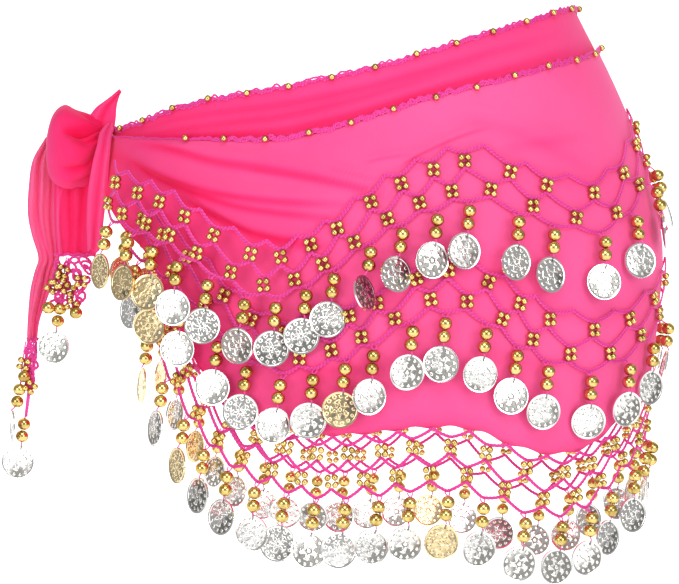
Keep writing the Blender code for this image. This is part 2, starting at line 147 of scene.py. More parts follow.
def smooth_lookup(rows, at, flat_end=False):
    """The columns of a table at a value of its first column, on one smooth curve through the rows."""
    at = min(max(at, rows[0][0]), rows[-1][0])
    k = 0
    while k < len(rows) - 2 and at > rows[k + 1][0]:
        k += 1

    def slope(i, column):
        if i == len(rows) - 1 and flat_end:
            return 0.0
        a, b = max(0, i - 1), min(len(rows) - 1, i + 1)
        return (rows[b][column] - rows[a][column]) / (rows[b][0] - rows[a][0])

    span = rows[k + 1][0] - rows[k][0]
    t = (at - rows[k][0]) / span
    found = []
    for column in range(1, len(rows[0])):
        start, end = rows[k][column], rows[k + 1][column]
        leaving, arriving = slope(k, column) * span, slope(k + 1, column) * span
        found.append(
            (2 * t**3 - 3 * t**2 + 1) * start
            + (t**3 - 2 * t**2 + t) * leaving
            + (3 * t**2 - 2 * t**3) * end
            + (t**3 - t**2) * arriving
        )
    return found


def from_knot(angle):
    """The same angle on the front half."""
    return min(angle, 360 - angle)


def edge_heights(angle):
    return smooth_lookup(EDGES, from_knot(angle), flat_end=True)


def hip_frame(angle, height):
    """A point of the hips, its level outward direction, and the level direction of rising angle."""
    left, right, depth = smooth_lookup(HIP_FORM, height)
    half = (right - left) / 2
    turn = math.radians(angle)
    point = Vector(((right + left) / 2 - half * math.cos(turn), -depth * math.sin(turn), height))
    outward = Vector((-math.cos(turn) / half, -math.sin(turn) / depth, 0)).normalized()
    along = Vector((half * math.sin(turn), -depth * math.cos(turn), 0)).normalized()
    return point, outward, along


def on_hips(angle, height, out):
    point, outward, _ = hip_frame(angle, height)
    return point + outward * out


class Value:
    """A number or vector in a material. Arithmetic on it adds Math nodes."""

    def __init__(self, finish, socket):
        self.finish, self.socket = finish, socket

    def math(self, operation, *others):
        return self.finish.node("ShaderNodeMath", {"operation": operation}, dict(enumerate(others)))

    def __add__(self, other):
        return self.math("ADD", self, other)

    __radd__ = __add__

    def __sub__(self, other):
        return self.math("SUBTRACT", self, other)

    def __rsub__(self, other):
        return self.math("SUBTRACT", other, self)

    def __mul__(self, other):
        return self.math("MULTIPLY", self, other)

    __rmul__ = __mul__

    def __pow__(self, other):
        return self.math("POWER", self, other)

    def sine(self):
        return self.math("SINE", self)

    def fraction(self):
        return self.math("FRACT", self)

    def smooth(self, low, high):
        """0 below low, 1 above high, and a soft step between them. low may be the larger one."""
        sockets = {"Value": self, "From Min": min(low, high), "From Max": max(low, high)}
        step = self.finish.node("ShaderNodeMapRange", {"interpolation_type": "SMOOTHSTEP"}, sockets)
        return step if high > low else 1 - step


class Finish:
    """A material under construction."""

    def __init__(self, name):
        self.material = bpy.data.materials.new(name)
        self.material.use_nodes = True
        self.tree = self.material.node_tree
        self.surface = self.tree.nodes["Principled BSDF"]

    def node(self, kind, settings=None, sockets=None, output=0):
        """Adds a node with its settings, then the values or links of its sockets."""
        made = self.tree.nodes.new(kind)
        for name, value in (settings or {}).items():
            if name == "stops":
                for at, colour in value[2:]:
                    made.color_ramp.elements.new(at)
                for element, (at, colour) in zip(made.color_ramp.elements, value):
                    element.position, element.color = at, (*colour, 1)
            else:
                setattr(made, name, value)
        for name, value in (sockets or {}).items():
            self.feed(made.inputs[name], value)
        return Value(self, made.outputs[output])

    def feed(self, socket, value):
        if isinstance(value, Value):
            self.tree.links.new(value.socket, socket)
        else:
            socket.default_value = value

    def set(self, **sockets):
        """Feeds the surface's own sockets, named with underscores for spaces."""
        for name, value in sockets.items():
            self.feed(self.surface.inputs[name.replace("_", " ")], value)

    def mix(self, share, first, second):
        first, second = (c if isinstance(c, Value) else (*c, 1) for c in (first, second))
        return self.node("ShaderNodeMix", {"data_type": "RGBA"}, {0: share, 6: first, 7: second}, 2)

    def attribute(self, name):
        return self.node("ShaderNodeAttribute", {"attribute_name": name}, output="Fac")

    def place(self):
        return self.node("ShaderNodeTexCoord", output="Object")

    def noise(self, scale, detail=2.0, where=None):
        sockets = {"Vector": where or self.place(), "Scale": scale, "Detail": detail}
        return self.node("ShaderNodeTexNoise", None, sockets)

    def bump(self, height, strength, distance):
        sockets = {"Height": height, "Strength": strength, "Distance": distance}
        self.set(Normal=self.node("ShaderNodeBump", None, sockets))


def chiffon(name, alpha=1.0, base_shade=0.0):
    """Plain-woven crinkled chiffon. The cloth's own shade attribute says how deep its pink is painted, which
    holds the painted shade of its folds and creases.
    """
    finish = Finish(name)
    cloudy = finish.noise(26, 3) - 0.5
    crepe = finish.noise(1500, 2)
    shade = finish.attribute("shade") + base_shade + cloudy * 0.22 + (crepe - 0.5) * 0.10
    stops = ((0.0, PINK_LIGHT), (0.55, PINK_FULL), (1.0, PINK_DEEP))
    colour = finish.node("ShaderNodeValToRGB", {"stops": stops}, {"Fac": shade})
    finish.set(Base_Color=colour, Roughness=0.72 + (crepe - 0.5) * 0.2, Specular_IOR_Level=0.15)
    finish.set(Sheen_Weight=0.22, Sheen_Roughness=0.45, Sheen_Tint=(*SHEEN_PINK, 1))
    if alpha < 1:
        finish.set(Alpha=(alpha + shade * (1 - alpha) * 1.2).smooth(-0.2, 1.15))
    finish.bump(crepe * 0.4 + finish.noise(420, 3), 0.35, 0.25 * MM)
    return finish.material


def deselect():
    bpy.ops.object.select_all(action="DESELECT")


def finished(piece, material, slot, *nodes):
    """Gives a piece its material, the body it rides on and the nodes it stands for. The slot is not used."""
    piece.data.materials.clear()
    piece.data.materials.append(material)
    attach(piece, "root")
    if nodes:
        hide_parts(*nodes)
    return piece


def make_active(piece):
    deselect()
    piece.select_set(True)
    bpy.context.view_layer.objects.active = piece


def added(name, data):
    """A new object in the scene."""
    made = bpy.data.objects.new(name, data)
    bpy.context.scene.collection.objects.link(made)
    return made


def smoothed(piece, merge=0.0):
    """Joins points closer than merge, turns all faces outwards and shades them smooth."""
    make_active(piece)
    bpy.ops.object.mode_set(mode="EDIT")
    bpy.ops.mesh.select_all(action="SELECT")
    if merge:
        bpy.ops.mesh.remove_doubles(threshold=merge)
    bpy.ops.mesh.normals_make_consistent(inside=False)
    bpy.ops.mesh.faces_shade_smooth()
    bpy.ops.object.mode_set(mode="OBJECT")
    return piece


def draped(name, columns, rows, place, merge=0.0):
    """A thin cloth. place(u, v), u across and v down from 0 to 1, gives each point and its shade."""
    deselect()
    bpy.ops.mesh.primitive_grid_add(x_subdivisions=columns, y_subdivisions=rows, size=1)
    piece = bpy.context.object
    piece.name = piece.data.name = name
    shades = piece.data.attributes.new("shade", "FLOAT", "POINT")
    for vertex in piece.data.vertices:
        point, shade = place(vertex.co.x + 0.5, 0.5 - vertex.co.y)
        vertex.co = point
        shades.data[vertex.index].value = shade
    smoothed(piece, merge)
    solidify = piece.modifiers.new("thickness", "SOLIDIFY")
    solidify.thickness, solidify.offset = CHIFFON_THICK, 0
    bpy.ops.object.modifier_apply(modifier=solidify.name)
    return piece


def ring_angle(u):
    return KNOT_GAP_ANGLE + u * (360 - 2 * KNOT_GAP_ANGLE)


def fold_lift(point, front):
    """Height of the folds, and how much shade is painted at a point in the trough under one, from 0 to 1."""
    lift = fold_shade = 0.0
    at, height = point.x / MM, point.z + (0.0 if front else BACK_FOLDS_LOWER)
    for high, above, below, line in FOLDS:
        along = (at - line[0][0]) / (line[-1][0] - line[0][0])
        if 0 < along < 1:
            off = height - smooth_lookup(line, at)[0] * MM
            body = rising(along * 5) * rising((1 - along) * 3)
            width = above if off > 0 else below
            under = (off + 1.3 * below) / (1.1 * below)
            lift += high * body * bell(off / width)
            # Painted shade in the trough just under each fold.
            fold_shade += body * min(1.0, high / FULL_SHADE_FOLD) * bell(under)
    return lift, min(1.0, fold_shade)


def toward_knot(angle):
    """How much deeper the pink is painted at an angle, from 1 at the knot to 0 past the middle of the front.
    """
    return 1 - rising((from_knot(angle) + 12) / 128)


def crinkle(angle, height):
    a, z = math.radians(angle), height / 0.05
    return math.sin(9 * a + 2.1 * z + 1.7 * math.sin(3 * a)) * math.sin(2.4 * z + 5 * a)


def outer_cloth_point(u, v):
    angle = ring_angle(u)
    _, edge, tier, tier_2, hem = edge_heights(angle)
    split = FOLDED_ROWS / (FOLDED_ROWS + LOWER_ROWS)
    share = v / split if v <= split else 1.0
    hem += HEM_SCALLOP * hem_slack(angle)
    height = edge + (tier - edge) * share
    if v > split:
        height = tier + (hem - tier) * (v - split) / (1 - split)
    lift, fold_shade = fold_lift(on_hips(angle, height, 0), angle <= 180)
    above_hem = rising((height - hem) / HEM_FADE)
    lift *= rising(v * 14) * above_hem
    out = OUTER_OUT + lift + CRINKLE_HIGH * (crinkle(angle, height) - 1) * rising(v * 12)
    # Painted shade: deeper pink towards the knot and further down, shade in the troughs under the folds, a
    # band of shade just under each sewn net line, and deeper pink near the hem. The last term varies the tone
    # in soft clouds.
    shade = 0.05 + (0.50 + 0.30 * share) * toward_knot(angle) + 0.50 * fold_shade
    for sewn in (tier, tier_2):
        shade += 0.10 * bell((sewn - height) / SEWN_SHADE_REACH - 0.4) ** 3
    shade += 0.18 * (1 - above_hem)
    shade += SHADE_CLOUDS * math.sin(angle / 13 + 30 * height) * math.sin(angle / 31 - 55 * height)
    return on_hips(angle, height, out), shade


# Tiers of net: edge, angle where the net starts, depth of its lowest swags.
TIERS = {
    "tier_1": (TIER_1, 28, 4.5 * MM),
    "tier_2": (TIER_2, 36, 5.5 * MM),
    "tier_3": (HEM, 39, 7.5 * MM),
}
# Angles of the upper flowers of each net on the front half, each with a coin under it. They are closer
# together where the cloth is bunched.
FLOWER_ANGLES = {
    "tier_1": (
        33, 41, 47, 53, 58.5, 66, 71.5, 77, 82, 88.5, 94.5, 101, 107.5, 117, 125, 137.5, 150, 163, 174,
    ),
    "tier_2": (40, 46, 52, 60, 66, 73, 79, 85, 90, 97, 103, 111, 118, 125, 137, 149, 161, 173),
    "tier_3": (42, 47, 52, 57, 62, 68, 74, 80, 86, 92.5, 98.5, 106, 113.5, 123, 133, 141, 149, 158, 167, 175),
}


def half_steps(first_angle, flowers):
    """Angles of all turns of a net: its start, then each upper flower and the point midway to the next."""
    found = [first_angle]
    for flower, after in zip(flowers, (*flowers[1:], None)):
        found += [flower, (flower + after) / 2 if after else 180]
    return found


hem_steps = half_steps(TIERS["tier_3"][1], FLOWER_ANGLES["tier_3"])


def hem_slack(angle):
    """0 where the hem net is sewn on, 1 midway, where the edge of the cloth hangs in a shallow scallop."""
    angle = from_knot(angle)
    step = float(np.interp(angle, hem_steps, range(len(hem_steps))))
    return (0.5 - 0.5 * math.cos(math.pi * step)) * rising((angle - hem_steps[0]) / 8)


outer_cloth = draped("outer_chiffon", OUTER_COLUMNS, FOLDED_ROWS + LOWER_ROWS, outer_cloth_point)
cloth_finish = chiffon("hot_pink_chiffon")
finished(outer_cloth, cloth_finish, "chiffon", "outer_cloth")

# The inner cloth
# The band of the same chiffon that stands above the outer cloth's edge. It is the first turn of the wrap,
# pulled tighter, with fine drag lines running along it. Shade is painted along the drag lines and near its
# edges.
INNER_OUT = 0.6 * MM
BAND_TUCK = 14 * MM
BAND_ROWS = 24
EDGE_UNDER_CROCHET = 1.7 * MM
# Drag lines: place down the band at each end, from 0 to 1, and the angles of the ends.
BAND_DRAGS = ((0.20, 0.30, 20, 150), (0.42, 0.35, 30, 120), (0.60, 0.52, 12, 165))
DRAG_HALF, DRAG_DEEP = 0.06, 0.5 * MM
EDGE_SHADOW, TOP_SHADOW = 5 * MM, 4 * MM


def inner_cloth_point(u, v):
    angle = ring_angle(u)
    top, edge, *_ = edge_heights(angle)
    top += EDGE_UNDER_CROCHET
    bottom = edge - BAND_TUCK
    height = top + (bottom - top) * v
    drag = 0.0
    for near, far, first, last in BAND_DRAGS:
        along = (from_knot(angle) - first) / (last - first)
        if 0 < along < 1:
            off = v - near - (far - near) * along
            drag += math.sin(math.pi * along) * bell(off / DRAG_HALF)
    # Painted shade: deeper towards the knot and lower down, along the drag lines, next to the outer cloth's
    # edge and just under the top edging.
    shade = 0.40 + 0.34 * toward_knot(angle) * (0.6 + 0.8 * v) + 0.30 * drag
    shade += 0.28 * bell((height - edge) / EDGE_SHADOW) + 0.16 * bell((top - height) / TOP_SHADOW)
    return on_hips(angle, height, INNER_OUT - DRAG_DEEP * drag), shade


inner_cloth = draped("inner_chiffon", OUTER_COLUMNS, BAND_ROWS, inner_cloth_point)
finished(inner_cloth, cloth_finish, "chiffon", "inner_cloth")

# The crocheted edgings
# A chain of magenta yarn with a row of small loops, worked straight onto each top edge. A gilt bead is
# threaded on about every inch.
STITCH = 2.3 * MM
RINGS_A_STITCH = 4
# A plaited section, point by point: the lobe that it is on, and its angle round that lobe in degrees.
PLAIT = ((1, -78), (1, -26), (1, 26), (1, 78), (-1, 78), (-1, 26), (-1, -26), (-1, -78))
LOBE_OFF = 0.56 * MM
LOBE_RADIUS = 0.42 * MM
LOBE_SWELL = 0.38
EDGING_LOW = 0.5 * MM
EDGING_HIGH = 1.9 * MM
LOOP_LONG = 5.5 * MM
LOOP_TALL = 0.8 * MM
LOOP_OUT = 0.25 * MM
EDGING_STEPS = 1400
# How uneven it is: height of a ripple, how fast it runs, how much it drifts and how fast the drift runs.
RIPPLES = ((0.6 * MM, 390, 2, 97), (0.45 * MM, 1130, 3, 61))
TOP_EDGING_OUT = 1.7 * MM
OUTER_EDGING_OUT = 3.4 * MM
EDGE_BEAD_RADIUS = 2.1 * MM
EDGE_BEAD_STEP = 25 * MM
EDGE_BEAD_OUT, EDGE_BEAD_UP = 1.4 * MM, 0.8 * MM

# Yarn on the stitches, and the painted shade between them.
YARN_LIGHT = (0.96, 0.085, 0.47)
YARN_DARK = (0.68, 0.012, 0.23)
YARN_SHEEN = (1.0, 0.6, 0.85)
# Gold of the beads, and the dark of their patches, which are partly wear and partly painted reflection.
GOLD_LIGHT = (0.86, 0.67, 0.25)
GOLD_DARK = (0.46, 0.31, 0.08)
GOLD_EDGE = (0.40, 0.26, 0.07)


class Yarn:
    """Collects crocheted chains and plain strands into one mesh."""

    def __init__(self):
        self.points, self.faces, self.hidden, self.count = [], [], [], 0

    def chain(self, path, outward, size=1.0, rounding=3, sizes=None):
        """A crocheted chain along a path. sizes, where given, is its thickness at each point as a share."""
        path, outward = np.array(path, float), np.array(outward, float)
        run = np.concatenate(([0.0], np.cumsum(np.linalg.norm(np.diff(path, axis=0), axis=1))))
        stitches = max(1, round(run[-1] / (STITCH * size)))
        at = np.linspace(0, run[-1], stitches * RINGS_A_STITCH + 1)
        line = np.stack([np.interp(at, run, path[:, i]) for i in range(3)], axis=1)
        out = np.stack([np.interp(at, run, outward[:, i]) for i in range(3)], axis=1)
        for _ in range(rounding):
            line[1:-1] = (line[:-2] + 2 * line[1:-1] + line[2:]) / 4
        along = np.gradient(line, axis=0)
        along /= np.linalg.norm(along, axis=1)[:, None]
        out -= along * np.sum(out * along, axis=1)[:, None]
        out /= np.linalg.norm(out, axis=1)[:, None]
        side = np.cross(along, out)
        phase = np.linspace(0, 2 * math.pi * stitches, len(at))
        thick = size * (np.interp(at, run, sizes) if sizes else np.ones(len(at)))
        sections, hidden = [], []
        for lobe, degrees in PLAIT:
            swell = np.cos(phase + (0 if lobe > 0 else math.pi))
            radius = LOBE_RADIUS * thick * (1 + LOBE_SWELL * swell)
            turn = math.radians(degrees)
            across = lobe * (LOBE_OFF * thick + radius * math.cos(turn))
            sections.append(line + side * across[:, None] + out * (radius * math.sin(turn))[:, None])
            # Painted shade: more on the sides of the lobes and where a lobe thins between stitches.
            hidden.append((0.5 if abs(degrees) > 60 else 0.0) + 0.5 * (0.5 - 0.5 * swell))
        self.rings(np.stack(sections, axis=1), np.stack(hidden, axis=1))

    def strand(self, path, radius, sides=5):
        """A plain round strand."""
        path = np.array(path, float)
        along = np.gradient(path, axis=0)
        along /= np.linalg.norm(along, axis=1)[:, None]
        across = np.cross(along, (0.31, -0.83, 0.46))
        across /= np.linalg.norm(across, axis=1)[:, None]
        up = np.cross(along, across)
        turns = [2 * math.pi * i / sides for i in range(sides)]
        rings = [path + radius * (across * math.cos(t) + up * math.sin(t)) for t in turns]
        # Plain strands get an even, light share of painted shade.
        self.rings(np.stack(rings, axis=1), np.full((len(path), sides), 0.3))

    def rings(self, points, hidden):
        many, sides, _ = points.shape
        index = np.arange(many * sides).reshape(many, sides) + self.count
        near, far = index[:-1], index[1:]
        quads = np.stack((near, far, np.roll(far, -1, axis=1), np.roll(near, -1, axis=1)), axis=2)
        self.points.append(points.reshape(-1, 3))
        self.hidden.append(hidden.reshape(-1))
        self.faces += quads.reshape(-1, 4).tolist()
        self.faces += [index[0].tolist(), index[-1].tolist()[::-1]]
        self.count += many * sides

    def mirror(self):
        """The same yarn worked on the back."""
        other = Yarn()
        other.points = [points * (1, -1, 1) for points in self.points]
        other.hidden, other.count = self.hidden, self.count
        other.faces = [face[::-1] for face in self.faces]
        return other

    def piece(self, name, *nodes):
        mesh = bpy.data.meshes.new(name)
        mesh.from_pydata(np.concatenate(self.points), [], self.faces)
        hidden = mesh.attributes.new("hidden", "FLOAT", "POINT")
        hidden.data.foreach_set("value", np.concatenate(self.hidden))
        finished(smoothed(added(name, mesh)), yarn_finish, "yarn", *nodes)


def yarn_material():
    """Glossy synthetic yarn with fine fibres: bright on the stitches, with painted shade dark between them.
    """
    finish = Finish("magenta_crochet_yarn")
    fibres = finish.noise(2600, 2)
    # Painted shade between the stitches, broken by the fibres.
    dark = (finish.attribute("hidden") * 1.2 + (fibres - 0.5) * 0.6).smooth(0.30, 1.10)
    finish.set(Base_Color=finish.mix(dark, YARN_LIGHT, YARN_DARK), Roughness=0.5 + (fibres - 0.5) * 0.3)
    finish.set(Sheen_Weight=0.3, Sheen_Roughness=0.4, Sheen_Tint=(*YARN_SHEEN, 1))
    finish.bump(fibres, 0.5, 0.15 * MM)
    return finish.material


def gold_material():
    """Bright plated beads, a little worn and uneven; their dark patches are partly wear and partly painted
    reflection.
    """
    finish = Finish("gilt_beads")
    wear_and_reflection = finish.noise(160, 3)
    # Dark patches, partly wear and partly painted dark reflection.
    finish.set(Base_Color=finish.mix(wear_and_reflection.smooth(0.40, 0.75), GOLD_LIGHT, GOLD_DARK), Metallic=1.0)
    finish.set(Roughness=0.10 + wear_and_reflection * 0.14, Specular_Tint=(*GOLD_EDGE, 1))
    finish.bump(finish.noise(500, 2), 0.12, 0.2 * MM)
    return finish.material


def round_bead(name, radius, segments, rings, squash=1.0):
    """A bead with a dimple at each end of its hole."""
    deselect()
    bpy.ops.mesh.primitive_uv_sphere_add(segments=segments, ring_count=rings, radius=radius)
    model = bpy.context.object
    model.name = name
    for vertex in model.data.vertices:
        vertex.co.z *= squash
        if abs(vertex.co.z) > radius * squash * 0.999:
            vertex.co.z *= 0.80
    return smoothed(model)


def copies(name, model, places, tones=None):
    """One mesh of copies of a model, each turned and put in its place, with its own tone."""
    shape = bmesh.new()
    tone_layer = shape.verts.layers.float.new("tone") if tones else None
    for at, place in enumerate(places):
        start = len(shape.verts)
        shape.from_mesh(model.data)
        shape.verts.ensure_lookup_table()
        new = shape.verts[start:]
        bmesh.ops.transform(shape, matrix=place, verts=new)
        if tones:
            for vertex in new:
                vertex[tone_layer] = tones[at]
    mesh = bpy.data.meshes.new(name)
    shape.to_mesh(mesh)
    shape.free()
    return added(name, mesh)


def standing(point, outward, roll=0.0, lean=0.0, turn=0.0):
    """Where a small thing goes: Z up, its face (-Y of the model) outwards, then turned, leant and rolled."""
    face = -outward
    across = face.cross(Vector((0, 0, 1))).normalized()
    up = across.cross(face).normalized()
    base = Matrix((across, face, up)).transposed().to_4x4()
    turned = Matrix.Rotation(turn, 4, "Z") @ Matrix.Rotation(roll, 4, "Y") @ Matrix.Rotation(lean, 4, "X")
    return Matrix.Translation(point) @ base @ turned


def gold_beads(name, model, places):
    finished(copies(name, model, places), gold_finish, "beads_and_coins")


yarn_finish = yarn_material()
gold_finish = gold_material()
small_bead = round_bead("small_bead", EDGE_BEAD_RADIUS, 8, 6, 0.92)

# Edgings: edge, distance out, place of the first bead, and the angles between which it comes out from under
# the wrap's folds.
EDGINGS = {
    "top_edging": (TOP, TOP_EDGING_OUT, 3 * MM, 0, 1),
    "outer_edging": (OUTER, OUTER_EDGING_OUT, 92 * MM, 40, 70),
}
for name, (edge, out, next_bead, tucked, free) in EDGINGS.items():
    yarn, base, loops, outs, seats, sizes = Yarn(), [], [], [], [], []
    run, before = 0.0, None
    for i in range(EDGING_STEPS + 1):
        angle = ring_angle(i / EDGING_STEPS)
        shown = 0.34 + 0.66 * rising((from_knot(angle) - tucked) / (free - tucked))
        point, outward, along = hip_frame(angle, edge_heights(angle)[edge])
        ripple = 0.0
        for high, fast, drift, slow in RIPPLES:
            ripple += high * math.sin(run * fast + drift * math.sin(run * slow))
        low = point + outward * out + Vector((0, 0, EDGING_LOW + ripple * shown))
        run += (point - before).length if before else 0.0
        before = point
        base.append(low)
        wave = LOOP_TALL * (0.5 - abs(math.sin(math.pi * run / LOOP_LONG))) * (1 + 0.6 * math.sin(run * 311))
        loops.append(low + Vector((0, 0, (EDGING_HIGH - EDGING_LOW - wave) * shown)) + outward * LOOP_OUT)
        outs.append(outward)
        sizes.append(shown)
        if run >= next_bead:
            seat = low + outward * EDGE_BEAD_OUT + Vector((0, 0, EDGE_BEAD_UP))
            seats.append(standing(seat, outward, roll=1.1))
            next_bead += EDGE_BEAD_STEP
    yarn.chain(base, outs, 0.86, rounding=1, sizes=sizes)
    yarn.chain(loops, outs, 0.66, rounding=1, sizes=sizes)
    yarn.piece(name + "_crochet", name)
    gold_beads(name + "_beads", small_bead, seats)

# The nets
# Three tiers of crocheted net, each of two rows of open meshes. Chains run zigzag, and at each turn four
# small gilt beads are drawn together into a flower. Two tiers are sewn on the cloth, the third on its hem.
NET_OUT = 4.3 * MM
FLOWER = 8 * MM
TOP_SWAG = 5.7 * MM
MID_SWAG = 7.5 * MM
FLOWER_1_TOP = TOP_SWAG
FLOWER_1_END = FLOWER_1_TOP + FLOWER
FLOWER_2_TOP = FLOWER_1_END + MID_SWAG
FLOWER_2_END = FLOWER_2_TOP + FLOWER
HALF_JOIN_GAP = 0.3 * MM
HALF_STEP = 8 * MM
FLOWER_BEAD_OFF = 2.05 * MM
FLOWER_OUT = 0.9 * MM
CHAIN_SAG = 0.7 * MM
TURN_UNEVEN = 0.35 * MM
TOP_ROW_SHORT, LAST_ROW_SHORT = 0.6 * MM, 1.2 * MM
SPAN_POINTS = 9

# Near the knot the upper tiers lie over the lower ones: tier, lift, angles where it starts and has gone.
LAYERING = (
    ("tier_1", 7.2 * MM, 18, 76),
    ("tier_1", 8.0 * MM, 26, 62),
    ("tier_2", 6.8 * MM, 22, 58),
)
LAYERING_RUN = 10

chance = random.Random(11)


class Tier:
    """The front half of one net."""

    def __init__(self, name):
        self.name = name
        self.edge, first_angle, low_swag = TIERS[name]
        self.drop_root = FLOWER_2_END + low_swag
        self.repeats = len(FLOWER_ANGLES[name])
        self.angles = half_steps(first_angle, FLOWER_ANGLES[name])
        self.steps = range(len(self.angles))

    def lift(self, angle):
        return sum(
            high * rising((angle - start) / LAYERING_RUN) * rising((end - angle) / LAYERING_RUN)
            for name, high, start, end in LAYERING
            if name == self.name
        )

    def frame(self, step, depth):
        angle = float(np.interp(step, self.steps, self.angles))
        return hip_frame(angle, edge_heights(angle)[self.edge] - depth)

    def place(self, step, depth, out=0.0):
        """Point and outward direction of the net, step half repeats along and depth below its line."""
        surface, outward, _ = self.frame(step, depth)
        angle = float(np.interp(step, self.steps, self.angles))
        return surface + outward * (NET_OUT + self.lift(angle) + out), outward

    def zigzag(self, yarn, even_depth, odd_depth):
        """One chain that hangs from turn to turn."""
        last = 2 * self.repeats
        turns = [even_depth if step % 2 == 0 else odd_depth for step in range(last + 1)]
        turns = [depth + chance.uniform(-TURN_UNEVEN, TURN_UNEVEN) for depth in turns]
        path, outs = [], []
        for step in range(last):
            for i in range(SPAN_POINTS):
                t = i / SPAN_POINTS
                depth = turns[step] + (turns[step + 1] - turns[step]) * t + CHAIN_SAG * 4 * t * (1 - t)
                point, outward = self.place(step + t, depth)
                path.append(point)
                outs.append(outward)
        point, outward = self.place(last - HALF_JOIN_GAP / HALF_STEP, turns[last])
        path.append(point)
        outs.append(outward)
        yarn.chain(path, outs)

    def flowers(self):
        """Where the beads of its flowers go."""
        seats = []
        rows = [(step, FLOWER_1_TOP) for step in range(1, 2 * self.repeats, 2)]
        rows += [(step, FLOWER_2_TOP) for step in range(0, 2 * self.repeats, 2)]
        for step, top in rows:
            centre, outward = self.place(step, top + FLOWER / 2, FLOWER_OUT)
            before, _ = self.place(max(0, step - 1), top)
            after, _ = self.place(step + 1, top)
            run = after - before
            tilt = 0.45 * math.atan2(run.z, math.hypot(run.x, run.y)) + chance.uniform(-0.2, 0.2)
            flower = standing(centre, outward, roll=-tilt)
            for x, z in ((-1, -1), (1, -1), (-1, 1), (1, 1)):
                reach = FLOWER_BEAD_OFF * chance.uniform(0.94, 1.06)
                bead = Matrix.Translation(Vector((x * reach, chance.uniform(-0.3, 0.3) * MM, z * reach)))
                seats.append(flower @ bead @ Matrix.Rotation(x * z * math.pi / 4, 4, "Y"))
        return seats


# The drops
# From each lowest turn of a net hang two large gilt beads and a thin stamped coin of silvery metal, on yarn.
# A coin has a raised rim, a ring of dots and a plain swirling rosette, and hangs turned a little its own way.
BIG_BEAD_RADIUS = 3.9 * MM
BIG_BEAD_DEPTHS = (5.0 * MM, 12.4 * MM)
COIN_RADIUS = 10.4 * MM
COIN_THICK = 1.1 * MM
COIN_DEPTH = 28.2 * MM
COIN_RIM = 0.95 * MM
COIN_SUNK = 0.28 * MM
COIN_SIDES = 32
CAD_NET_OUT = 4.1 * MM
BEAD_OUT = 7.8 * MM
NET_CLEAR = 5.4 * MM
SHINGLE = 1.6 * MM
TURN_FROM, TURN_RUN = 9 * MM, 14 * MM
THREAD = 0.42 * MM
THREADS_APART, THREADS_UP, THREAD_SLACK = 1.5 * MM, 0.6 * MM, 0.3 * MM
DROP_LEAN = math.radians(8)
COIN_LOOSE = math.radians(7)

# Coins of the front half tinted warm gold, counted from the knot; their pairs on the back have it too.
WARM_COINS = {"tier_1": (0, 1, 2), "tier_2": (1, 7), "tier_3": (0, 2, 11)}
# How far each coin is turned from the cloth, in degrees, from the knot to the far hip.
COIN_TURNS = {
    "tier_1": (-14, -8, 4, 10, 16, 46, 16, 12, 10, 58, 24, 16, 14, 8, 10, -18, -24, 14, -10),
    "tier_2": (-8, 6, 8, 12, 14, 36, 16, 8, 26, 10, 6, 4, -8, -12, -20, -24, -20, 6),
    "tier_3": (-30, -34, -36, -30, -20, -12, 8, 30, 14, 12, 8, 6, 0, -6, -14, -12, -10, -20, 6, 8),
}
# Silver, the dark of the painted reflections and of the painted hole, and a warm gold tint.
SILVER = (0.93, 0.92, 0.89)
SILVER_DARK = (0.13, 0.125, 0.11)
DOTS, DOT_RING, DOT_SIZE = 13, 0.745, 0.130
SILVER_WARM = (0.93, 0.74, 0.42)


def coin_material():
    """Stamped mirror metal with painted reflections. A coin's tone tells how dark a reflection is painted on
    its sunk parts, from 0 to 1, plus 2 if tinted warm gold.
    """
    finish = Finish("stamped_silver_coins")
    flat = finish.node("ShaderNodeTexCoord", output="UV")
    centred = finish.node("ShaderNodeVectorMath", {"operation": "SUBTRACT"}, {0: flat, 1: (0.5, 0.5, 0.0)})
    parts = finish.node("ShaderNodeSeparateXYZ", None, {0: centred})
    x = Value(finish, parts.socket.node.outputs[0])
    y = Value(finish, parts.socket.node.outputs[1])
    radius = (x * x + y * y) ** 0.5 * 2
    angle = x.math("ARCTAN2", y, x)
    around = (angle * (DOTS / (2 * math.pi)) + 40).fraction() - 0.5
    across = around * (2 * math.pi * DOT_RING / DOTS)
    from_dot = (across * across + (radius - DOT_RING) * (radius - DOT_RING)) ** 0.5
    dots = from_dot.smooth(DOT_SIZE, DOT_SIZE * 0.4)
    petals = (angle * 5 + radius * 8).sine().smooth(-0.35, 0.55)
    curls = (angle * 5 - radius * 10 + 1.5).sine().smooth(0.1, 0.8)
    inside = radius.smooth(0.58, 0.50) * radius.smooth(0.15, 0.22)
    raised = dots * 0.9 + (petals * 0.7 + curls * 0.4) * inside + radius.smooth(0.15, 0.07)
    patches = finish.noise(70, 1)
    tone = finish.attribute("tone")
    gilt = tone.smooth(1.4, 1.6)
    # Painted reflection: the sunk parts are painted dark by the coin's tone, with a dark side and dark
    # patches. The hole at the top is not cut; its shade is painted as a dark slit.
    sunk = (1 - raised.smooth(0.15, 0.55)) * radius.smooth(0.92, 0.86)
    hole_shade = (x * x).smooth(0.0009, 0.0004) * y.smooth(0.365, 0.385)
    painted_reflection = x * 1.1 - y * 0.7 + (patches - 0.5) * 2.4
    dark = hole_shade + sunk * (tone - gilt * 2.0 + painted_reflection).smooth(0.20, 0.75)
    plate = finish.mix(gilt, SILVER, SILVER_WARM)
    colour = finish.mix(dark.math("MINIMUM", dark, 1.0) * 0.85, plate, SILVER_DARK)
    finish.set(Base_Color=colour, Metallic=1.0)
    finish.set(Roughness=0.13 + patches * 0.08 + dark * 0.15)
    finish.bump(raised + patches * 1.1, 0.75, 0.40 * MM)
    return finish.material


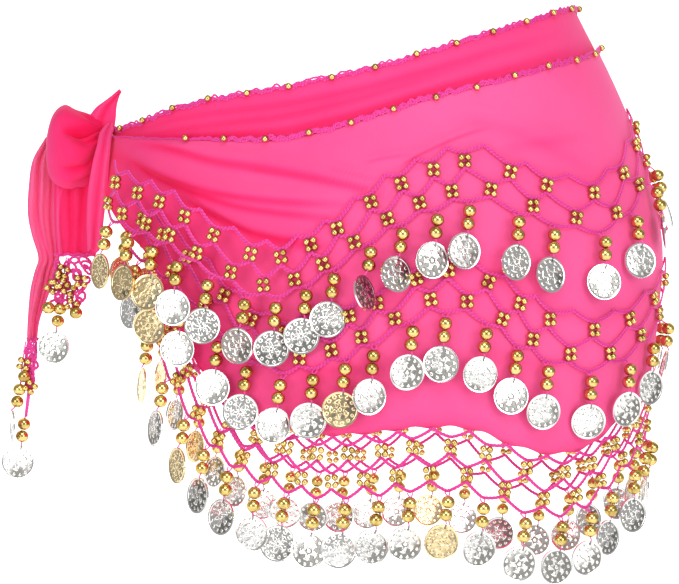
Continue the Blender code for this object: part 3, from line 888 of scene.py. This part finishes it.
def coin_model():
    """A thin round blank standing up, with a raised rim on both faces and a flat map over each face."""
    deselect()
    bpy.ops.mesh.primitive_cylinder_add(
        vertices=COIN_SIDES, radius=COIN_RADIUS, depth=COIN_THICK, rotation=(math.pi / 2, 0, 0)
    )
    bpy.ops.object.transform_apply(location=False, rotation=True, scale=True)
    coin = bpy.context.object
    coin.name = "coin"
    for side in (-1, 1):
        bpy.ops.object.mode_set(mode="EDIT")
        bpy.ops.mesh.select_mode(type="FACE")
        bpy.ops.mesh.select_all(action="DESELECT")
        bpy.ops.object.mode_set(mode="OBJECT")
        for face in coin.data.polygons:
            face.select = face.normal.y * side > 0.9 and abs(face.center.x) + abs(face.center.z) < 0.1 * MM
        bpy.ops.object.mode_set(mode="EDIT")
        bpy.ops.mesh.inset(thickness=COIN_RIM, depth=0)
        bpy.ops.mesh.inset(thickness=0.35 * MM, depth=-COIN_SUNK)
        bpy.ops.mesh.inset(thickness=COIN_RADIUS * 0.45, depth=0.16 * MM)
        bpy.ops.mesh.poke()
        bpy.ops.object.mode_set(mode="OBJECT")
    smoothed(coin)
    bpy.ops.object.shade_smooth_by_angle(angle=math.radians(40))
    flat_map = coin.data.uv_layers[0]
    for loop in coin.data.loops:
        place = coin.data.vertices[loop.vertex_index].co
        flat_map.data[loop.index].uv = (0.5 + place.x / COIN_RADIUS / 2, 0.5 + place.z / COIN_RADIUS / 2)
    return coin


def drop_line(tier, k):
    """Root and directions of one drop, its turn, and how far out of its root it lies at any depth."""
    step = 2 * k + 1
    surface, outward, along = tier.frame(step, tier.drop_root)
    root = surface + outward * (CAD_NET_OUT + tier.lift(tier.angles[step]))
    turn = math.radians(COIN_TURNS[tier.name][k])
    coin_out = max(BEAD_OUT, NET_CLEAR + COIN_RADIUS * abs(math.sin(turn)))

    def out(depth):
        hips = (tier.frame(step, tier.drop_root + depth)[0] - surface).dot(outward)
        clear = BEAD_OUT + (coin_out - BEAD_OUT) * rising((depth - TURN_FROM) / TURN_RUN)
        return hips + clear + k % 2 * SHINGLE - CAD_NET_OUT

    return root, outward, along, turn, out


def hang_drop(yarn, root, outward, along, turn, out, lead=0.0):
    """Threads one drop, and gives where its two beads and its coin go."""
    sway = chance.uniform(-2.5, 2.5)
    across = along * (math.tan(math.radians(sway)) - math.tan(DROP_LEAN) * along.x)
    down = (Vector((0, 0, -1)) + across).normalized()
    roll = math.atan2(down.dot(along), -down.z)

    def at(depth):
        return root + outward * out(depth) * min(1.0, (depth + 1 * MM) / (4 * MM)) + down * depth

    top = lead + BIG_BEAD_DEPTHS[0] - BIG_BEAD_RADIUS * 0.75
    for side in (-1, 1):
        start = root + along * (side * THREADS_APART) + Vector((0, 0, THREADS_UP))
        yarn.strand([start, (start + at(top)) / 2 + along * side * THREAD_SLACK, at(top)], THREAD)
    beads = [standing(at(lead + depth), outward, roll=-roll) for depth in BIG_BEAD_DEPTHS]
    above, below = COIN_DEPTH - COIN_RADIUS, COIN_DEPTH + COIN_RADIUS
    tilt = math.atan2(out(lead + below) - out(lead + above), below - above)
    lean, swing = chance.uniform(-COIN_LOOSE, COIN_LOOSE), chance.uniform(-COIN_LOOSE, COIN_LOOSE)
    coin_place = standing(
        at(lead + COIN_DEPTH), outward, roll=-roll * 1.5, lean=lean - tilt, turn=turn + swing
    )
    rim = coin_place @ Vector((0, -COIN_THICK * 0.9, COIN_RADIUS + 0.2 * MM))
    last = at(lead + BIG_BEAD_DEPTHS[1] + BIG_BEAD_RADIUS * 0.6)
    yarn.strand([last, (last + rim) / 2, rim], THREAD)
    return beads, coin_place


coin_finish = coin_material()
coin = coin_model()
big_bead = round_bead("big_bead", BIG_BEAD_RADIUS, 16, 10, 0.94)
mirrored = Matrix.Diagonal((1, -1, 1, 1))


def facing_back(place):
    """A place on the front, mirrored to the back without turning the thing inside out."""
    return mirrored @ place @ mirrored


for tier_name in TIERS:
    tier = Tier(tier_name)
    net = Yarn()
    tier.zigzag(net, 0.0, TOP_SWAG - TOP_ROW_SHORT)
    tier.zigzag(net, FLOWER_2_TOP, FLOWER_1_END)
    tier.zigzag(net, FLOWER_2_END, tier.drop_root - LAST_ROW_SHORT)
    flowers = tier.flowers()
    beads, coins, tones = [], [], []
    for k in range(tier.repeats):
        drop_beads, coin_place = hang_drop(net, *drop_line(tier, k))
        beads += drop_beads
        coins.append(coin_place)
        gilt = 2.0 if k in WARM_COINS[tier_name] else 0.0
        # A coin's tone sets how dark a reflection is painted on it.
        tones.append(gilt + chance.choice((0.05, 0.2, 0.35, 0.5, 0.8)) * (0.3 if gilt else 1.0))
    back = net.mirror()
    for side, yarn, turned in (("front", net, lambda place: place), ("back", back, facing_back)):
        label = f"{tier_name}_{side}"
        yarn.piece(f"{label}_crochet", f"{tier_name}_net_{side}")
        gold_beads(f"{label}_flowers", small_bead, [turned(place) for place in flowers])
        gold_beads(f"{label}_beads", big_bead, [turned(place) for place in beads])
        discs = copies(f"{label}_silver_coins", coin, [turned(place) for place in coins], tones)
        finished(discs, coin_finish, "beads_and_coins", f"{tier_name}_coins_{side}")

# The knot
# The two ends of the wrap are tied once at the left hip. One end makes a soft puffed loop of chiffon, pinched
# at its inner side by the band that goes round it, with folds that fan out from the pinch.
KNOT_OFF_HIPS = 4.2 * MM
PUFF_COLUMNS, PUFF_ROWS = 144, 72
PINCH_FORWARD = -0.0160
# The puff's lighter edge: angle and half width of its lower lip, and the share of the way that the rim takes.
LIP_ANGLE, LIP_HALF, RIM_SHARE = 292, 16, 0.20

# Outline of the puff seen from the front, from the pinch out: share of the way, place across, top, underside,
# half depth.
PUFF_OUTLINE = (
    (0.00, -0.1400, -0.0430, -0.0430, 0.0),
    (0.03, -0.1410, -0.0392, -0.0472, 4.0 * MM),
    (0.13, -0.1450, -0.0335, -0.0600, 11.0 * MM),
    (0.30, -0.1515, -0.0300, -0.0735, 18.0 * MM),
    (0.50, -0.1590, -0.0282, -0.0765, 22.0 * MM),
    (0.68, -0.1662, -0.0258, -0.0762, 21.0 * MM),
    (0.86, -0.1728, -0.0308, -0.0712, 16.0 * MM),
    (0.95, -0.1760, -0.0415, -0.0640, 10.0 * MM),
    (1.00, -0.1770, -0.0515, -0.0515, 0.0),
)
# Folds of the puff: angle round it in degrees (0 forward, 90 up), depth as a share, half width, share of the
# way where it starts and where it has gone.
PUFF_FOLDS = (
    (34, 0.46, 9, 0.00, 0.74),
    (62, 0.14, 8, 0.00, 0.50),
    (6, 0.30, 8, 0.00, 0.60),
    (-22, 0.17, 9, 0.04, 0.80),
    (-46, 0.10, 7, 0.10, 0.70),
    (96, 0.12, 9, 0.10, 0.70),
    (128, 0.18, 12, 0.00, 0.65),
    (170, 0.16, 12, 0.00, 0.70),
    (212, 0.20, 13, 0.00, 0.60),
    (250, 0.16, 11, 0.00, 0.72),
    (290, 0.10, 9, 0.10, 0.60),
)


def pushed_off_hips(point, clear):
    """The point itself, or the nearest one that is clear of the hips."""
    left, right, depth = smooth_lookup(HIP_FORM, point.z)
    half = (right - left) / 2
    angle = math.degrees(math.atan2(-point.y / depth, ((right + left) / 2 - point.x) / half))
    surface, outward, _ = hip_frame(angle, point.z)
    off = (point - surface).dot(outward)
    return point if off >= clear else point + outward * (clear - off)


def turned_by(angle, middle):
    """How far an angle lies from a middle one, from -180 to 180."""
    return (angle - middle + 180) % 360 - 180


def puff_point(u, v):
    """u runs round the puff from the front over the top, v from the pinch to the far end."""
    around = 360 * u
    across, top, under, deep = smooth_lookup(PUFF_OUTLINE, v)
    dent = shade = 0.0
    for middle, depth, half, start, end in PUFF_FOLDS:
        drift = middle + 10 * math.sin(2.6 * v + middle)
        off = turned_by(around, drift) / (half * (1.25 - 0.5 * v))
        body = rising((v - start + 0.10) / 0.10) * rising((end - v) / 0.34)
        dent += depth * body * bell(off)
        # Shade is painted in each fold's dent.
        shade += 1.5 * depth * body * bell(off) ** 1.3
    dent -= 0.030 * math.sin(3 * math.radians(around) + 6 * v) * rising(v * 2)
    dent -= 0.020 * math.sin(7 * math.radians(around) + 3 * v) * rising(v * 3) * rising((1 - v) * 5)
    turn = math.radians(around)
    reach = 1 - dent
    tall, middle = (top - under) / 2, (top + under) / 2
    forward, up = deep * reach * math.cos(turn), tall * reach * math.sin(turn)
    point = Vector((across, PINCH_FORWARD - forward, middle + up))
    lip = bell(turned_by(around, LIP_ANGLE) / LIP_HALF) * rising((v - 0.15) * 4)
    rim = bell((1 - v) / RIM_SHARE) + lip
    # The pink is painted deeper near the pinch and on the top there, and lighter at the rim and the lip.
    shade = 0.76 + shade + 0.14 * (1 - v) + 0.12 * math.sin(turn) * (1 - v) - 0.28 * min(1.0, rim)
    return pushed_off_hips(point, KNOT_OFF_HIPS), shade


knot_finish = chiffon("knot_chiffon", alpha=0.97)
puff = draped("knot_puff", PUFF_COLUMNS, PUFF_ROWS, puff_point, merge=0.02 * MM)
finished(puff, knot_finish, "chiffon", "knot")

# The corner and the ends of the tie
# A pointed corner stands up out of the knot. A narrow strand falls from the pinch in front of a short wide
# end, and the long end hangs behind them, wide at first and so sheer that light comes through.

# Sections from the knot on: height, across, forward, half width.
ENDS = {
    "knot_corner": (
        (-0.0400, -0.1420, -0.020, 6.0 * MM),
        (-0.0340, -0.1432, -0.020, 8.2 * MM),
        (-0.0270, -0.1410, -0.019, 6.4 * MM),
        (-0.0220, -0.1372, -0.018, 3.6 * MM),
        (-0.0165, -0.1326, -0.016, 0.6 * MM),
    ),
    "tie_strand": (
        (-0.0362, -0.1378, -0.0228, 0.9 * MM),
        (-0.0400, -0.1392, -0.0258, 3.3 * MM),
        (-0.0440, -0.1404, -0.0290, 3.8 * MM),
        (-0.0500, -0.1410, -0.0330, 4.0 * MM),
        (-0.0600, -0.1425, -0.0355, 4.8 * MM),
        (-0.0760, -0.1445, -0.0350, 5.6 * MM),
        (-0.0920, -0.1460, -0.0340, 5.2 * MM),
        (-0.1050, -0.1468, -0.0330, 4.4 * MM),
        (-0.1135, -0.1475, -0.0320, 3.4 * MM),
    ),
    "front_tail": (
        (-0.0700, -0.1582, -0.020, 13.4 * MM),
        (-0.0820, -0.1588, -0.022, 13.2 * MM),
        (-0.1000, -0.1588, -0.022, 12.6 * MM),
        (-0.1160, -0.1585, -0.022, 12.0 * MM),
    ),
    "long_tail": (
        (-0.0440, -0.1740, -0.008, 4.0 * MM),
        (-0.0580, -0.1788, -0.010, 7.0 * MM),
        (-0.0740, -0.1795, -0.012, 8.6 * MM),
        (-0.0900, -0.1800, -0.013, 8.6 * MM),
        (-0.1030, -0.1785, -0.013, 7.8 * MM),
        (-0.1170, -0.1760, -0.013, 6.2 * MM),
        (-0.1260, -0.1785, -0.0135, 6.0 * MM),
        (-0.1380, -0.1813, -0.014, 5.8 * MM),
        (-0.1550, -0.1850, -0.014, 3.5 * MM),
        (-0.1680, -0.1862, -0.014, 2.9 * MM),
    ),
}
# Upright folds of each end: place across from 0 to 1 at its top and at its foot, half width, how far it
# stands forward, and its painted shade, lighter where the fold stands forward and darker where it sinks back.
END_FOLDS = {
    "knot_corner": (
        (0.20, 0.40, 0.10, 1.2 * MM, -0.15),
        (0.48, 0.55, 0.12, -1.0 * MM, 0.35),
        (0.84, 0.80, 0.09, 0.9 * MM, 0.0),
    ),
    "tie_strand": (
        (0.15, 0.22, 0.16, 1.5 * MM, -0.20),
        (0.50, 0.55, 0.12, -0.9 * MM, 0.20),
        (0.86, 0.80, 0.12, 1.2 * MM, -0.25),
    ),
    "front_tail": (
        (0.05, 0.12, 0.030, 2.2 * MM, -0.35),
        (0.18, 0.06, 0.030, 1.8 * MM, -0.30),
        (0.40, 0.36, 0.080, -2.0 * MM, 0.12),
        (0.66, 0.60, 0.090, -2.6 * MM, 0.16),
        (0.95, 0.94, 0.090, 2.4 * MM, -0.16),
    ),
    "long_tail": (
        (0.08, 0.16, 0.09, 2.6 * MM, -0.14),
        (0.26, 0.62, 0.07, -2.6 * MM, 0.24),
        (0.52, 0.28, 0.09, 2.8 * MM, -0.12),
        (0.74, 0.80, 0.06, -2.2 * MM, 0.22),
        (0.95, 0.95, 0.06, 2.0 * MM, -0.10),
    ),
}
END_FINISHES = {
    "knot_corner": chiffon("corner_chiffon", 0.96, 0.22),
    "tie_strand": chiffon("strand_chiffon", 0.92, 0.16),
    "front_tail": chiffon("front_tail_chiffon", 0.96, 0.46),
    "long_tail": chiffon("long_tail_chiffon", 0.74, 0.0),
}
END_UNEVEN = 1.1 * MM


def end_place(name):
    sections = ENDS[name]
    rows = [(i, *section) for i, section in enumerate(sections)]

    def place(u, v):
        height, across, forward, half = smooth_lookup(rows, v * (len(rows) - 1))
        shade = 0.35
        for top, foot, width, high, tone in END_FOLDS[name]:
            drift = 0.025 * math.sin(6 * v + 9 * top)
            hump = bell((u - top - (foot - top) * v - drift) / width)
            forward -= high * hump * (0.6 + 0.4 * math.cos(2.2 * v + 5 * top) ** 2)
            # Painted light and shade on each fold.
            shade += tone * hump
        height -= END_UNEVEN * v * v * math.sin(7 * u + 3)
        return Vector((across + half * (2 * u - 1), forward, height)), shade

    return place


for end_name in ENDS:
    end = draped(end_name + "_chiffon", 40, 60, end_place(end_name))
    finished(end, END_FINISHES[end_name], "chiffon", end_name)

# The trims of the tails
# Each hanging end is finished with crochet worked in loops that bunch together, bead flowers, loose large
# beads and coin drops. The long end runs out into a narrow crocheted strip.
TAIL_DROPS = (
    ("front_tail", -0.1630, 26 * MM, -20),
    ("long_tail", -0.1885, 24 * MM, -70),
    ("long_tail", -0.1835, 45 * MM, -15),
)
# Each trim: forward, height, left, right, its loops, their size, how far down and to the left they reach,
# then places across and heights of its flowers and its loose beads in mm.
TAIL_TRIMS = {
    "front_tail": (
        -0.0230, -0.1156, -0.1720, -0.1470, 26, 3.6 * MM, 30 * MM, 5 * MM,
        ((-166.5, -125.5), (-169, -131.5), (-155.5, -131.5), (-173, -135), (-163, -136.5), (-161, -146)),
        ((-175, -147.5), (-158.5, -150.5)),
    ),
    "long_tail": (
        -0.0140, -0.1665, -0.1895, -0.1820, 14, 2.9 * MM, 27 * MM, 2 * MM,
        ((-191, -181.5), (-187, -195.5)),
        ((-190.5, -189),),
    ),
}
TRIM_LOOP_POINTS = 16
EDGE_POINTS = 25
TRIM_BELOW = 2 * MM
TRIM_DROP_OUT, TRIM_FLOWER_OUT, TRIM_BEAD_OUT = 0.2 * MM, 2.6 * MM, 3.2 * MM


def tail_trim(name, forward, high, left, right, loops, size, tall, slant, flowers, loose):
    yarn, beads, coins, seats = Yarn(), [], [], []
    toward = Vector((0, -1, 0))
    edge = []
    for i in range(EDGE_POINTS):
        across = left + (right - left) * i / (EDGE_POINTS - 1)
        edge.append(Vector((across, forward, high + 0.5 * MM * math.sin(i))))
    yarn.chain(edge, [toward] * EDGE_POINTS, 0.9)
    wide = (right - left) / 2 - size * 0.7
    for k in range(loops):
        down = (k + 0.5) / loops
        narrow = 1 - 0.3 * down
        x = (left + right) / 2 - slant * down + wide * narrow * math.sin(k * 2.4)
        z = high - TRIM_BELOW - tall * down + chance.uniform(-1, 1) * MM
        long, flat = size * chance.uniform(0.7, 1.25), size * chance.uniform(0.35, 0.8)
        tip = Matrix.Rotation(-chance.uniform(0, 3.1), 3, "Y")
        path = []
        for i in range(TRIM_LOOP_POINTS + 1):
            turn = 2 * math.pi * i / TRIM_LOOP_POINTS
            ahead = (0.8 + 0.9 * math.sin(turn + k)) * MM
            round_loop = tip @ Vector((long * math.cos(turn), 0, flat * math.sin(turn)))
            path.append(Vector((x, forward - ahead, z)) + round_loop)
        yarn.chain(path, [toward] * len(path), 0.85, rounding=1)
    for x, z in flowers:
        flower = Matrix.Translation((x * MM, forward - TRIM_FLOWER_OUT, z * MM))
        flower = flower @ Matrix.Rotation(chance.uniform(0, 1), 4, "Y")
        for i, k in ((-1, -1), (1, -1), (-1, 1), (1, 1)):
            seats.append(flower @ Matrix.Translation((i * FLOWER_BEAD_OFF, 0, k * FLOWER_BEAD_OFF)))
    beads += [Matrix.Translation((x * MM, forward - TRIM_BEAD_OUT, z * MM)) for x, z in loose]
    for end, x, lead, turn in TAIL_DROPS:
        if end == name:
            root = Vector((x, forward, high - TRIM_BELOW))
            path = [root - Vector((math.tan(DROP_LEAN), 0, 1)) * (lead * i / 12) for i in range(13)]
            yarn.chain(path, [toward] * len(path), 0.9)
            threaded, place = hang_drop(
                yarn, root, toward, Vector((1, 0, 0)), math.radians(turn), lambda _: TRIM_DROP_OUT, lead
            )
            beads += threaded
            coins.append(place)
    yarn.piece(name + "_crochet")
    gold_beads(name + "_flowers", small_bead, seats)
    gold_beads(name + "_beads", big_bead, beads)
    # The tails' coins all get one middling painted reflection.
    discs = copies(name + "_silver_coins", coin, coins, [0.3] * len(coins))
    finished(discs, coin_finish, "beads_and_coins", name + "_coins")


for trim_name, trim in TAIL_TRIMS.items():
    tail_trim(trim_name, *trim)
for model in (small_bead, big_bead, coin):
    bpy.data.objects.remove(model)

# The studio
# A pale floor under the hips at standing height with a white backdrop behind, a softbox at each side of the
# camera and one above it, and the camera level with the middle of the scarf.
FLOOR_HEIGHT = -0.95
BACKDROP_AWAY = 3.2
CAMERA_AWAY = 1.80
CAMERA_HEIGHT = -0.138
CAMERA_LENS = 156.4
WORLD_GREY = 0.36
SOFTBOXES = (
    ("left", 1.1, 13, (-1.45, -1.9, 0.10)),
    ("right", 1.1, 15, (1.45, -1.8, 0.20)),
    ("top", 1.0, 11, (0.1, -1.35, 1.15)),
)
LIT_POINT = Vector((0.02, 0, -0.12))


def studio_plane(name, location, rotation, shade, glow):
    deselect()
    bpy.ops.mesh.primitive_plane_add(size=8, location=location, rotation=rotation)
    plane = bpy.context.object
    plane.name = name
    paper = Finish(name + "_paper")
    paper.set(Base_Color=paper.mix(paper.noise(3, 2), (shade,) * 3, (shade + 0.03,) * 3), Roughness=0.9)
    paper.set(Emission_Color=(1, 1, 1, 1), Emission_Strength=glow)
    plane.data.materials.append(paper.material)


studio_plane("floor", (0, 0, FLOOR_HEIGHT), (0, 0, 0), 0.90, 0.45)
studio_plane("backdrop", (0, BACKDROP_AWAY, 3.0), (math.pi / 2, 0, 0), 0.90, 0.95)

world = bpy.data.worlds.new("studio")
bpy.context.scene.world = world
world.use_nodes = True
world.node_tree.nodes["Background"].inputs["Color"].default_value = (1.0, 1.0, 1.0, 1)
world.node_tree.nodes["Background"].inputs["Strength"].default_value = WORLD_GREY

for name, size, power, place in SOFTBOXES:
    data = bpy.data.lights.new(name, "AREA")
    data.shape, data.size, data.energy = "SQUARE", size, power
    light = added(name, data)
    light.location = place
    light.rotation_euler = (LIT_POINT - Vector(place)).to_track_quat("-Z", "Y").to_euler()

lens = bpy.data.cameras.new("camera")
lens.lens, lens.sensor_width = CAMERA_LENS, 36
camera = added("camera", lens)
camera.location = (0, -CAMERA_AWAY, CAMERA_HEIGHT)
camera.rotation_euler = (math.pi / 2, 0, 0)
bpy.context.scene.camera = camera
bpy.context.scene.view_settings.view_transform = "Standard"
